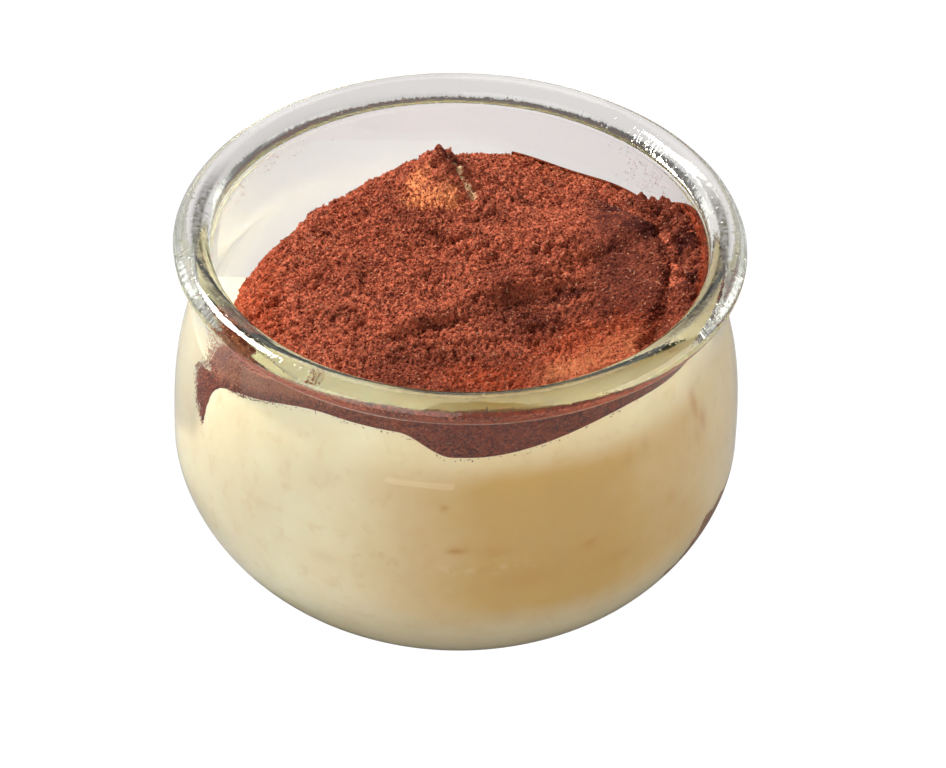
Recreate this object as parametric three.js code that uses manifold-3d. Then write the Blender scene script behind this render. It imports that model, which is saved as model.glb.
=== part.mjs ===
// Single-portion layered dessert in a round-bellied glass pot.
// Millimetres, +Z up, origin at the middle of the base, front of the pot towards -Y.
// Azimuths are in degrees from the front, growing towards +X.
import * as THREE from 'three';
import { mergeVertices } from 'three/addons/utils/BufferGeometryUtils.js';
import Module from 'manifold-3d';

// ---- driving dimensions -------------------------------------------------
const BODY_R = 40.417;        // widest outer radius of the belly
const BODY_Z = 19.105;        // height of the widest circle
const BASE_R = 24.0;          // outer radius where the belly leaves the base
const LOWER_POWER = 1.6907;   // fullness of the lower belly
const SHOULDER_R = 33.29;     // shoulder curve: radius it aims for
const SHOULDER_Z = 47.554;    // shoulder curve: height it aims for
const SHOULDER_POWER = 2.9916;
const NECK_LOW_Z = 39.0;      // neck blend starts here
const NECK_TOP_Z = 46.5;      // and is upright here
const NECK_R = 37.3;         // outer radius of the neck
const BEAD_R = 37.413;        // centre radius of the rolled rim
const BEAD_Z = 51.676;        // centre height of the rolled rim
const BEAD_HALF_W = 2.587;    // half width of the rolled rim
const BEAD_HALF_H = 1.915;    // half height of the rolled rim
const WALL = 2.25;            // belly wall
const WALL_NECK = 2.6;        // neck wall
const FLOOR_Z = 3.8;          // inside floor
const FLOOR_R = 21.0;         // flat part of the inside floor
const GAP = 0.3;              // between neighbouring pieces
const MOUND_Z = 49.6;         // crown of the powdered mound
const MOUND_DROP = 2.6;       // fall of the mound at MOUND_REF
const MOUND_REF = 28.0;
const COCOA_T = 1.5;          // powder plus gap over the crown
const EDGE_R = 32.0;          // edge of the mound where it stands off the glass
const EDGE_Z = 42.8;
const SPONGE_LOW = 8.6;
const SPONGE_TOP = 20.9;      // at the middle
const SPONGE_TILT = 2.4;      // higher on the left by this, lower on the right
const SPONGE_COVER = 1.9;     // cream between the sponge and the pot
const SEG_GLASS = 60;
const SEG_FOOD = 48;
const RINGS_TOP = 10;
const RINGS_BELLY = 4;

// ---- helpers ------------------------------------------------------------
const clamp = (v, a = 0, b = 1) => Math.min(b, Math.max(a, v));
const S = (t) => { t = clamp(t); return t * t * (3 - 2 * t); };
const bell = (v, c, w) => Math.exp(-(((v - c) / w) ** 2));
const wrap = (az) => ((az % 360) + 360) % 360;
const signed = (th) => (th > 180 ? th - 360 : th);
const rad = (d) => (d * Math.PI) / 180;

// ---- glass profile ------------------------------------------------------
const shoulder = (z) => BODY_R - (BODY_R - SHOULDER_R) * ((z - BODY_Z) / (SHOULDER_Z - BODY_Z)) ** SHOULDER_POWER;
function outerR(z) {
  if (z < BODY_Z) {
    const u = clamp((BODY_Z - z) / BODY_Z);
    return BASE_R + (BODY_R - BASE_R) * (1 - u ** LOWER_POWER) ** (1 / LOWER_POWER);
  }
  if (z < NECK_LOW_Z) return shoulder(z);
  const span = NECK_TOP_Z - NECK_LOW_Z;
  const slope = ((shoulder(NECK_LOW_Z) - shoulder(NECK_LOW_Z - 0.01)) / 0.01) * span;
  const t = clamp((z - NECK_LOW_Z) / span);
  return (2 * t ** 3 - 3 * t ** 2 + 1) * shoulder(NECK_LOW_Z) + (t ** 3 - 2 * t ** 2 + t) * slope
    + (-2 * t ** 3 + 3 * t ** 2) * NECK_R;
}
function innerR(z) {
  if (z < BODY_Z) {
    const u = clamp((BODY_Z - z) / (BODY_Z - FLOOR_Z));
    return FLOOR_R + (BODY_R - WALL - FLOOR_R) * (1 - u ** LOWER_POWER) ** (1 / LOWER_POWER);
  }
  return outerR(z) - (WALL - (WALL - WALL_NECK) * S((z - 36) / 10));
}
// the filling keeps a little further off where the wall bends into the neck
const foodR = (z) => innerR(z) - GAP - 0.4 * bell(z, 41.3, 3);

// points up the curved lower wall, from the floor to the widest circle
function bellyPoints(z0, count, radius) {
  const out = [];
  for (let i = 0; i <= count; i++) {
    const z = BODY_Z - (BODY_Z - z0) * Math.cos((i / count) * Math.PI / 2) ** 1.15;
    out.push([radius(z), z]);
  }
  return out;
}

function glassPot() {
  const p = [[0, 0]];
  for (const q of bellyPoints(0, 6, outerR)) p.push(q);
  for (const part of [0.24, 0.46, 0.64, 0.77, 0.87, 1]) {
    const z = BODY_Z + (NECK_TOP_Z - BODY_Z) * part;
    p.push([outerR(z), z]);
  }
  const beadAt = (a) => [BEAD_R + BEAD_HALF_W * Math.cos(a), BEAD_Z + BEAD_HALF_H * Math.sin(a)];
  p.push([NECK_R, BEAD_Z - BEAD_HALF_H - 0.55]);
  for (let i = 0; i <= 9; i++) p.push(beadAt(rad(-90 + 30 * i)));
  p.push([innerR(49), 49]);
  for (const part of [1, 0.91, 0.84, 0.77, 0.66, 0.48, 0.26, 0]) {
    const z = BODY_Z + (NECK_TOP_Z - BODY_Z) * part;
    p.push([innerR(z), z]);
  }
  const low = bellyPoints(FLOOR_Z, RINGS_BELLY, innerR).reverse();
  for (let i = 1; i < low.length; i++) p.push(low[i]);
  p.push([0, FLOOR_Z]);
  const g = new THREE.LatheGeometry(p.map(([r, z]) => new THREE.Vector2(r, z)), SEG_GLASS);
  g.rotateX(Math.PI / 2);
  return g;
}

// ---- outline of the filling round the pot -------------------------------
// height at which the cream leaves the glass
function creamLine(az) {
  const th = wrap(az); const a = signed(th);
  const dip = 3.5 * S((a + 12.5) / 12) * (1 - S((a - 3) / 40));
  const rightBack = 45.1 + 0.9 * S((th - 50) / 20) - 4.6 * S((th - 112) / 30) - 15.8 * S((th - 178) / 52);
  const notch = 8.6 * S((-a - 60.5) / 4.5) * (1 - S((-a - 66) / 6));
  const left = 45.1 - 6.4 * S((-a - 28) / 36) - notch - 13.1 * S((-a - 100) / 16);
  return (th < 240 ? rightBack : left) - dip;
}
// 1 where the mound stands off the glass, 0 where it is packed against it
const standOff = (az) => { const th = wrap(az); return S((th - 163) / 22) * (1 - S((th - 295) / 6)); };
const powderOff = (az) => { const th = wrap(az); return S((th - 163) / 22) * (1 - S((th - 288) / 5)); };
// powder that slid down the gap at the front left
const slide = (az) => { const a = signed(wrap(az)); return S((-a - 57) / 4) * (1 - S((-a - 68) / 3)); };
const edgeR = (az) => { const th = wrap(az); return EDGE_R - 5.6 * S((th - 182) / 38) * (1 - S((th - 246) / 38)); };
function powderLine(az) {
  const th = wrap(az); const a = signed(th);
  const right = 47.6 + 2.9 * S((th - 45) / 18) - 7.6 * S((th - 104) / 30) - 1.2 * bell(th, 153, 12);
  const left = 47.8 - 3.4 * S((-a - 34) / 22) - 6.0 * S((-a - 57) / 8);
  const g = powderOff(az);
  return (th < 240 ? right : left) * (1 - g) + g * EDGE_Z;
}
const powderR = (az) => { const g = powderOff(az); return foodR(powderLine(az)) * (1 - g) + g * edgeR(az); };

// ---- surface of the mound ----------------------------------------------
function dome(x, y) {
  const r = Math.hypot(x, y);
  const th = wrap((Math.atan2(x, -y) * 180) / Math.PI);
  let z = MOUND_Z - MOUND_DROP * (r / MOUND_REF) ** 2.2;
  z -= 1.2 * S((r - 12) / 16) * bell(th, 225, 40);
  z -= 2.4 * S((r - 9) / 17) * bell(th, 152, 24);
  const past = x * 0.62 - y * 0.78 - 9.5;
  z -= 1.3 * S(past / 3.5 + 0.5) * S((x + 12) / 14);
  z -= 1.6 * bell(Math.hypot(x - 19, y + 20), 0, 9);
  return z;
}
function tip(x, y) {
  const dy = y - 19.8;
  const q = Math.hypot((x + 3.2) / 5.9, dy / (dy < 0 ? 7.8 : 4.2));
  return 4.3 * clamp(1 - q) ** 1.1 + 0.8 * Math.exp(-q * q * 1.6);
}
function powderTop(r, az) {
  const x = r * Math.sin(rad(az)); const y = -r * Math.cos(rad(az));
  const re = powderR(az);
  const xe = re * Math.sin(rad(az)); const ye = -re * Math.cos(rad(az));
  const th = wrap(az);
  const p = 5 + 4 * Math.max(powderOff(az), slide(az)) - 1.5 * bell(th, 150, 22);
  let z = dome(x, y) + (powderLine(az) - dome(xe, ye)) * clamp(r / re) ** p + tip(x, y);
  z -= 1.6 * bell(r, 30.2, 1.4) * S((th - 52) / 10) * (1 - S((th - 118) / 12));
  return z;
}

// one column of the cream outline: top rings, edge, side, wall contact
function creamColumn(az) {
  const g = standOff(az);
  const zb = creamLine(az);
  const zA = zb * (1 - g) + g * Math.max(zb + 1.6, EDGE_Z - 1.6);
  const rA = foodR(zA) * (1 - g) + g * Math.min(edgeR(az) - 0.7, foodR(zA));
  const zB = Math.min(zb, zA - 1.6);
  const slack = powderTop(rA, az) - COCOA_T - zA;
  const pts = [];
  for (let i = 1; i <= RINGS_TOP; i++) {
    const t = (i / RINGS_TOP) ** 0.92;
    const r = rA * t;
    pts.push([r, powderTop(r, az) - COCOA_T - slack * t ** 6]);
  }
  const B = [foodR(zB), zB];
  return { top: pts, mid: [(rA + B[0]) / 2 + 0.25 * g, (zA + zB) / 2], B };
}

// ---- closed solids from rings ------------------------------------------
function ringSolid(topPole, rings, bottomPole) {
  const n = rings[0].length;
  const pos = [...topPole];
  for (const ring of rings) for (const v of ring) pos.push(...v);
  pos.push(...bottomPole);
  const last = 1 + rings.length * n;
  const at = (k, i) => 1 + k * n + (i % n);
  const idx = [];
  for (let i = 0; i < n; i++) {
    idx.push(0, at(0, i), at(0, i + 1));
    for (let k = 0; k + 1 < rings.length; k++) {
      idx.push(at(k, i), at(k + 1, i), at(k + 1, i + 1), at(k, i), at(k + 1, i + 1), at(k, i + 1));
    }
    idx.push(last, at(rings.length - 1, i + 1), at(rings.length - 1, i));
  }
  const g = new THREE.BufferGeometry();
  g.setAttribute('position', new THREE.Float32BufferAttribute(pos, 3));
  g.setIndex(idx);
  return g;
}
// columns sit closer together where the outline changes quickly
function columns(count) {
  const weight = (az) => 1 + 3.2 * bell(az, -65, 6) + 1.0 * bell(az, -3, 12) + 0.4 * bell(az, 85, 35);
  const steps = 1440; const sum = [0];
  for (let i = 0; i < steps; i++) sum.push(sum[i] + weight(-180 + (360 * (i + 0.5)) / steps));
  const out = [];
  for (let k = 0; k < count; k++) {
    const want = (sum[steps] * k) / count;
    let i = 0; while (sum[i + 1] < want) i++;
    out.push(-180 + (360 * (i + (want - sum[i]) / (sum[i + 1] - sum[i]))) / steps);
  }
  return out;
}
const COLS = columns(SEG_FOOD);
const place = (az, [r, z]) => [r * Math.sin(rad(az)), -r * Math.cos(rad(az)), z];
const turn = (list) => list[0].map((_, k) => list.map((col, i) => place(COLS[i], col[k])));

function creamBody() {
  const foodLow = bellyPoints(FLOOR_Z, RINGS_BELLY, innerR).map(([r, z]) => [r - GAP, z + GAP]);
  const cols = COLS.map((az) => {
    const c = creamColumn(az);
    const list = [...c.top, c.mid, c.B];
    for (let i = 1; i <= 3; i++) {
      const z = c.B[1] - ((c.B[1] - BODY_Z) * i) / 4;
      list.push([foodR(z), z]);
    }
    for (const q of [...foodLow].reverse()) list.push(q);
    return list;
  });
  return ringSolid([0, 0, powderTop(0, 0) - COCOA_T], turn(cols), [0, 0, FLOOR_Z + GAP]);
}

// powder body before the cream is taken out of it: its underside lies inside the cream
function cocoaBlank() {
  const cols = COLS.map((az) => {
    const g = powderOff(az);
    const re = powderR(az);
    const zt = powderLine(az);
    const zb = creamLine(az);
    const mixed = (wallZ, inset, drop) => [
      foodR(wallZ) * (1 - g) + g * (edgeR(az) - inset),
      wallZ * (1 - g) + g * (EDGE_Z - drop),
    ];
    const list = [];
    for (let i = 1; i <= RINGS_TOP; i++) {
      const r = re * (i / RINGS_TOP) ** 0.92;
      list.push([r, powderTop(r, az)]);
    }
    list.push(mixed((zt + zb) / 2, 0.25, 1.0));
    const low = mixed(zb - 0.9, 1.7, 2.4);
    list.push(low, [low[0] * 0.8, low[1] - 2.5]);
    return list;
  });
  return ringSolid([0, 0, powderTop(0, 0)], turn(cols), [0, 0, 38]);
}

// the same closed surface moved outwards along its vertex normals
function grown(geometry, by) {
  const g = geometry.clone();
  g.computeVertexNormals();
  const p = g.attributes.position; const n = g.attributes.normal;
  for (let i = 0; i < p.count; i++) p.setXYZ(i, p.getX(i) + n.getX(i) * by, p.getY(i) + n.getY(i) * by, p.getZ(i) + n.getZ(i) * by);
  return g;
}

// sponge slab; grow > 0 gives the pocket it sits in
function spongeBody(grow) {
  const reach = (az) => { const a = signed(wrap(az)); return S((a - 61) / 5) * (1 - S((a - 142) / 6)); };
  const levels = 4;
  const cols = COLS.map((az) => {
    const list = [];
    const wob = 0.35 * Math.sin(rad(az * 3 + 20)) + 0.25 * Math.sin(rad(az * 7));
    const top = SPONGE_TOP - SPONGE_TILT * Math.sin(rad(az));
    for (let i = 0; i <= levels; i++) {
      const t = i / levels;
      const z = top + grow - (top - SPONGE_LOW + 2 * grow) * t;
      const r = foodR(z - GAP) - 0.15 - SPONGE_COVER * (1 - reach(az)) + grow * (1 + 3 * reach(az)) + wob * (1 - reach(az));
      list.push([r, z]);
    }
    return [[list[0][0] - 1.2, list[0][1] + 0.0], ...list.map((q, i) => (i === 0 ? [q[0], q[1] - 0.6] : q))];
  });
  return ringSolid([0, 0, SPONGE_TOP + grow], turn(cols), [0, 0, SPONGE_LOW - grow]);
}

// ---- joining and cutting -----------------------------------------------
const wasm = await Module();
wasm.setup();
function toManifold(geometry) {
  let g = geometry.clone();
  for (const name of Object.keys(g.attributes)) if (name !== 'position') g.deleteAttribute(name);
  g = mergeVertices(g, 1e-4);
  return new wasm.Manifold(new wasm.Mesh({
    numProp: 3,
    vertProperties: new Float32Array(g.attributes.position.array),
    triVerts: new Uint32Array(g.index.array),
  }));
}
function toGeometry(solid) {
  const m = solid.getMesh();
  const g = new THREE.BufferGeometry();
  const pos = new Float32Array(m.numVert * 3);
  for (let i = 0; i < m.numVert; i++) for (let k = 0; k < 3; k++) pos[i * 3 + k] = m.vertProperties[i * m.numProp + k];
  g.setAttribute('position', new THREE.BufferAttribute(pos, 3));
  g.setIndex(new THREE.BufferAttribute(new Uint32Array(m.triVerts), 1));
  return g;
}

const creamBlank = creamBody();
const cream = toGeometry(toManifold(creamBlank).subtract(toManifold(spongeBody(GAP))));
const sponge = spongeBody(0);
const cocoaParts = toManifold(cocoaBlank()).subtract(toManifold(grown(creamBlank, GAP))).decompose();
const cocoa = toGeometry(cocoaParts.sort((a, b) => b.volume() - a.volume())[0]);
const glass = glassPot();

const group = new THREE.Group();
group.name = 'dessert_pot';
function add(name, geometry, color, roughness, metalness, extra = {}) {
  const g = geometry.index ? geometry : mergeVertices(geometry);
  g.computeVertexNormals();
  const mesh = new THREE.Mesh(g, new THREE.MeshStandardMaterial({ color, roughness, metalness, ...extra }));
  mesh.name = name;
  group.add(mesh);
}
add('glass_pot', glass, 0xe6efec, 0.05, 0.0, { transparent: true, opacity: 0.35 });
add('mascarpone_cream', cream, 0xeeddb0, 0.55, 0.0);
add('coffee_sponge', sponge, 0x8a5a44, 0.85, 0.0);
add('cocoa_powder', cocoa, 0x7a3325, 0.95, 0.0);

export default group;
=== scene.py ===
import math

import bpy
import numpy as np
from mathutils import Matrix, Vector


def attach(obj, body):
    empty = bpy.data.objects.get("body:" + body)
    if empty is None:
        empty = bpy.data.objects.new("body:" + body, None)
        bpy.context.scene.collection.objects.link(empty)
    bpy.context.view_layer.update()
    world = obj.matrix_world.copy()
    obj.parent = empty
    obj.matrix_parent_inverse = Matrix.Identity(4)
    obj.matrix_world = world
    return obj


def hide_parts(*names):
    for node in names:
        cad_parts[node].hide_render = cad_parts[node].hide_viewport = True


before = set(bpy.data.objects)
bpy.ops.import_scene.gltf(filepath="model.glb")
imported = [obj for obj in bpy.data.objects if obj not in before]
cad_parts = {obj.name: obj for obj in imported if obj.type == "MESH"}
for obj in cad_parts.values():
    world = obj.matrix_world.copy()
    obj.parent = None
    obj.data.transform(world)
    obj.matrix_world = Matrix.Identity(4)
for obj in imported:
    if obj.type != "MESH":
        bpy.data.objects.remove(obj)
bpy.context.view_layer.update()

MM = 0.001
RNG = np.random.default_rng(20)

# ---------------------------------------------------------------------------
# camera
# ---------------------------------------------------------------------------


def make_camera():
    e, roll = math.radians(38.590), math.radians(1.604)
    forward = Vector((0, math.cos(e), -math.sin(e)))
    upward = Vector((0, math.sin(e), math.cos(e)))
    side = Vector((1, 0, 0))
    right = side * math.cos(roll) + upward * math.sin(roll)
    up = -side * math.sin(roll) + upward * math.cos(roll)
    data = bpy.data.cameras.new("camera")
    data.sensor_fit = "HORIZONTAL"
    data.sensor_width = 36.0
    data.lens = 159.19
    data.shift_x, data.shift_y = 0.0177, 0.005756
    data.clip_start, data.clip_end = 0.05, 20
    cam = bpy.data.objects.new("camera", data)
    bpy.context.scene.collection.objects.link(cam)
    turn = Matrix((right, up, -forward)).transposed().to_4x4()
    cam.matrix_world = Matrix.Translation(Vector((0, 0, 0.025)) - forward * 0.6) @ turn
    bpy.context.scene.camera = cam


make_camera()

# ---------------------------------------------------------------------------
# noise
# ---------------------------------------------------------------------------


def chance(i, j, k, seed):
    n = (i * 374761393 + j * 668265263 + k * 1442695041 + seed * 69069 + 77) & 0xFFFFFFFF
    n = ((n ^ (n >> 15)) * 2246822519) & 0xFFFFFFFF
    n = ((n ^ (n >> 13)) * 3266489917) & 0xFFFFFFFF
    n = n ^ (n >> 16)
    return (n & 0xFFFFFF) / float(0xFFFFFF)


def noise(x, y, z, seed=0):
    """smooth value noise, -1 to 1"""
    x, y, z = np.broadcast_arrays(np.asarray(x, float), np.asarray(y, float), np.asarray(z, float))
    i, j, k = (np.floor(v).astype(np.int64) for v in (x, y, z))
    u, v, w = x - i, y - j, z - k
    u, v, w = (t * t * t * (t * (t * 6 - 15) + 10) for t in (u, v, w))
    out = 0
    for a in (0, 1):
        for b in (0, 1):
            for c in (0, 1):
                weight = (u if a else 1 - u) * (v if b else 1 - v) * (w if c else 1 - w)
                out = out + weight * chance(i + a, j + b, k + c, seed)
    return out * 2 - 1


def fbm(x, y, z, size, octaves=3, gain=0.5, seed=0):
    out, amp, total, f = 0, 1.0, 0.0, 1.0 / size
    for o in range(octaves):
        out = out + amp * noise(x * f + 13.1 * o, y * f - 7.7 * o, z * f + 3.3 * o, seed + 31 * o)
        total += amp
        amp *= gain
        f *= 2.03
    return out / total


def lumps(x, y, z, size, seed=0):
    """rounded bumps, 0 to 1"""
    x, y, z = x / size, y / size, z / size
    i, j, k = (np.floor(v).astype(np.int64) for v in (x, y, z))
    best = np.full(np.shape(x), 9.0)
    for a in (-1, 0, 1):
        for b in (-1, 0, 1):
            for c in (-1, 0, 1):
                p, q, s = i + a, j + b, k + c
                dx = p + chance(p, q, s, seed) - x
                dy = q + chance(p, q, s, seed + 101) - y
                dz = s + chance(p, q, s, seed + 211) - z
                best = np.minimum(best, dx * dx + dy * dy + dz * dz)
    return np.clip(1 - best, 0, 1)


# ---------------------------------------------------------------------------
# the shape functions of the part, in millimetres
# ---------------------------------------------------------------------------
BODY_R, BODY_Z, BASE_R, POWER = 40.417, 19.105, 24.0, 1.6907
SHOULDER_R, SHOULDER_Z, SHOULDER_POWER = 33.29, 47.554, 2.9916
NECK_LOW, NECK_TOP, NECK_R = 39.0, 46.5, 37.3
BEAD_R, BEAD_Z, BEAD_W, BEAD_H = 37.413, 51.676, 2.587, 1.915
FLOOR_Z, FLOOR_R = 3.8, 21.0
EDGE_Z = 42.8


def S(t):
    t = np.clip(t, 0, 1)
    return t * t * (3 - 2 * t)


def bell(v, c, w):
    return np.exp(-(((v - c) / w) ** 2))


def signed(az):
    return (np.asarray(az, float) + 180) % 360 - 180


def wrap(az):
    return np.asarray(az, float) % 360


def shoulder(z):
    t = np.clip((z - BODY_Z) / (SHOULDER_Z - BODY_Z), 0, None)
    return BODY_R - (BODY_R - SHOULDER_R) * t**SHOULDER_POWER


def outer_r(z):
    z = np.asarray(z, float)
    u = np.clip((BODY_Z - z) / BODY_Z, 0, 1)
    low = BASE_R + (BODY_R - BASE_R) * np.clip(1 - u**POWER, 0, 1) ** (1 / POWER)
    span = NECK_TOP - NECK_LOW
    slope = (shoulder(NECK_LOW) - shoulder(NECK_LOW - 0.01)) / 0.01 * span
    t = np.clip((z - NECK_LOW) / span, 0, 1)
    neck = (2 * t**3 - 3 * t**2 + 1) * shoulder(NECK_LOW) + (t**3 - 2 * t**2 + t) * slope + (-2 * t**3 + 3 * t**2) * NECK_R
    return np.where(z < BODY_Z, low, np.where(z < NECK_LOW, shoulder(z), neck))


def inner_r(z):
    z = np.asarray(z, float)
    u = np.clip((BODY_Z - z) / (BODY_Z - FLOOR_Z), 0, 1)
    low = FLOOR_R + (BODY_R - 2.25 - FLOOR_R) * np.clip(1 - u**POWER, 0, 1) ** (1 / POWER)
    return np.where(z < BODY_Z, low, outer_r(z) - (2.25 + 0.35 * S((z - 36) / 10)))


def cream_line(az):
    a, th = signed(az), wrap(az)
    dip = 3.5 * S((a + 12.5) / 12) * (1 - S((a - 3) / 40))
    right = 45.1 + 0.9 * S((th - 50) / 20) - 4.6 * S((th - 112) / 30) - 15.8 * S((th - 178) / 52)
    left = 45.1 - 6.4 * S((-a - 28) / 36) - 13.1 * S((-a - 100) / 16)
    return np.where(th < 240, right, left) - dip


def stand_off(az):
    th = wrap(az)
    return S((th - 163) / 22) * (1 - S((th - 295) / 6))


def powder_off(az):
    th = wrap(az)
    return S((th - 163) / 22) * (1 - S((th - 288) / 5))


def slide(az):
    a = signed(az)
    return S((-a - 57) / 4) * (1 - S((-a - 68) / 3))


def edge_r(az):
    th = wrap(az)
    return 32 - 5.6 * S((th - 182) / 38) * (1 - S((th - 246) / 38))


def powder_line(az):
    a, th = signed(az), wrap(az)
    right = 47.6 + 2.9 * S((th - 60) / 22) - 7.6 * S((th - 104) / 30) - 1.2 * bell(th, 153, 12)
    left = 47.8 - 3.4 * S((-a - 34) / 22) - 6.0 * S((-a - 57) / 8)
    g = powder_off(az)
    return np.where(th < 240, right, left) * (1 - g) + g * EDGE_Z


def powder_r(az, into=-0.025):
    g = powder_off(az)
    return (inner_r(powder_line(az)) + into) * (1 - g) + g * edge_r(az)


def dome(x, y):
    r, az = np.hypot(x, y), np.degrees(np.arctan2(x, -y))
    th = wrap(az)
    z = 49.6 - 2.6 * (r / 28) ** 2.2
    z = z + 0.25 * S((r - 12) / 16) * bell(th, 232, 40)
    z = z - 2.4 * S((r - 9) / 17) * bell(th, 152, 24)
    past = x * 0.62 - y * 0.78 - 9.5
    z = z - 1.3 * S(past / 3.5 + 0.5) * S((x + 12) / 14)
    z = z - 1.6 * bell(np.hypot(x - 19, y + 20), 0, 9)
    z = z - 1.5 * np.exp(-(((x - 15) / 7.5) ** 2) - ((y - 19) / 8) ** 2)
    z = z + 1.1 * np.exp(-(((x + 23.5) / 4.5) ** 2) - ((y - 5) / 7) ** 2)
    return z


def tip(x, y):
    dy = y - 19.8
    q = np.hypot((x + 3.2) / 5.9, dy / np.where(dy < 0, 7.8, 4.2))
    return 4.3 * np.clip(1 - q, 0, 1) ** 1.1 + 0.8 * np.exp(-q * q * 1.6)


def powder_top(r, az):
    a = np.radians(az)
    x, y = r * np.sin(a), -r * np.cos(a)
    re = powder_r(az)
    ex, ey = re * np.sin(a), -re * np.cos(a)
    p = 5 + 6 * np.maximum(powder_off(az), slide(az)) - 1.5 * bell(wrap(az), 150, 22)
    t = np.clip(r / re, 0, 1)
    z = dome(x, y) + (powder_line(az) - dome(ex, ey)) * t**p + tip(x, y)
    th = wrap(az)
    return z - 1.6 * bell(r, 30.2, 1.4) * S((th - 52) / 10) * (1 - S((th - 118) / 12))


# ---------------------------------------------------------------------------
# mesh helpers
# ---------------------------------------------------------------------------


def make_piece(name, verts, faces, mat, nodes=(), smooth=True, attributes=None):
    """verts in millimetres; faces is one array or a list of arrays of equal-sided polygons"""
    groups = faces if isinstance(faces, (list, tuple)) else [faces]
    me = bpy.data.meshes.new(name)
    me.vertices.add(len(verts))
    me.vertices.foreach_set("co", (np.asarray(verts, float) * MM).astype(np.float32).ravel())
    loops = np.concatenate([np.asarray(g, np.int32).ravel() for g in groups])
    sizes = np.concatenate([np.full(len(g), np.asarray(g).shape[1], np.int32) for g in groups])
    me.loops.add(len(loops))
    me.loops.foreach_set("vertex_index", loops)
    me.polygons.add(len(sizes))
    me.polygons.foreach_set("loop_start", np.concatenate([[0], np.cumsum(sizes)[:-1]]).astype(np.int32))
    me.polygons.foreach_set("loop_total", sizes)
    me.polygons.foreach_set("use_smooth", np.full(len(sizes), smooth))
    for key, values in (attributes or {}).items():
        layer = me.attributes.new(key, "FLOAT", "POINT")
        layer.data.foreach_set("value", np.asarray(values, np.float32).ravel())
    me.update(calc_edges=True)
    me.validate()
    me.materials.append(mat)
    ob = bpy.data.objects.new(name, me)
    bpy.context.scene.collection.objects.link(ob)
    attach(ob, "root")
    if nodes:
        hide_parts(*nodes)
    return ob


def turned(columns, top=None, bottom=None):
    """closed body from columns[az][row] = (r, z); az list goes all the way round"""
    az, rz = columns  # az (n,), rz (n, m, 2)
    n, m = rz.shape[:2]
    a = np.radians(az)[:, None]
    pts = np.stack([rz[..., 0] * np.sin(a), -rz[..., 0] * np.cos(a), rz[..., 1]], -1).reshape(-1, 3)
    i, k = np.meshgrid(np.arange(n), np.arange(m - 1), indexing="ij")
    j = (i + 1) % n
    quads = np.stack([i * m + k + 1, j * m + k + 1, j * m + k, i * m + k], -1).reshape(-1, 4)
    i = np.arange(n)
    j = (i + 1) % n
    tris = []
    extra = []
    if top is not None:
        c = len(pts) + len(extra)
        extra.append((0, 0, top))
        tris.append(np.stack([np.full(n, c), i * m, j * m], -1))
    if bottom is not None:
        c = len(pts) + len(extra)
        extra.append((0, 0, bottom))
        tris.append(np.stack([np.full(n, c), j * m + m - 1, i * m + m - 1], -1))
    pts = np.concatenate([pts, np.array(extra).reshape(-1, 3)])
    return pts, [quads, np.concatenate(tris)] if tris else [quads]


# ---------------------------------------------------------------------------
# material helpers
# ---------------------------------------------------------------------------


def material(name):
    m = bpy.data.materials.new(name)
    m.use_nodes = True
    nt = m.node_tree
    nt.nodes.clear()
    return m, nt, nt.nodes.new("ShaderNodeOutputMaterial")


def node(nt, kind, inputs=None, **props):
    n = nt.nodes.new("ShaderNode" + kind)
    for key, value in props.items():
        setattr(n, key, value)
    for key, value in (inputs or {}).items():
        s = n.inputs[key]
        if isinstance(value, bpy.types.NodeSocket):
            nt.links.new(value, s)
        else:
            s.default_value = value
    return n


def calc(nt, op, a, b=0.0, clamp=False):
    return node(nt, "Math", {0: a, 1: b}, operation=op, use_clamp=clamp).outputs[0]


def remap(nt, value, lo, hi, to_lo=0.0, to_hi=1.0):
    return node(
        nt, "MapRange", {"Value": value, "From Min": lo, "From Max": hi, "To Min": to_lo, "To Max": to_hi}, clamp=True
    ).outputs["Result"]


def blend(nt, factor, a, b):
    n = nt.nodes.new("ShaderNodeMix")
    n.data_type = "RGBA"
    n.clamp_factor = True
    for slot, value in ((0, factor), (6, a), (7, b)):
        if isinstance(value, bpy.types.NodeSocket):
            nt.links.new(value, n.inputs[slot])
        else:
            n.inputs[slot].default_value = value if slot == 0 else (*value, 1)
    return n.outputs[2]


def grain(nt, where, scale, detail=2.0, rough=0.55, kind="TexNoise"):
    return node(nt, kind, {"Vector": where, "Scale": scale, "Detail": detail, "Roughness": rough}).outputs[0]


def attribute(nt, name):
    return node(nt, "Attribute", attribute_name=name).outputs["Fac"]


def srgb(r, g, b):
    return tuple(((c / 255 + 0.055) / 1.055) ** 2.4 if c > 10 else c / 255 / 12.92 for c in (r, g, b))


# ---------------------------------------------------------------------------
# materials
# ---------------------------------------------------------------------------


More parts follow.
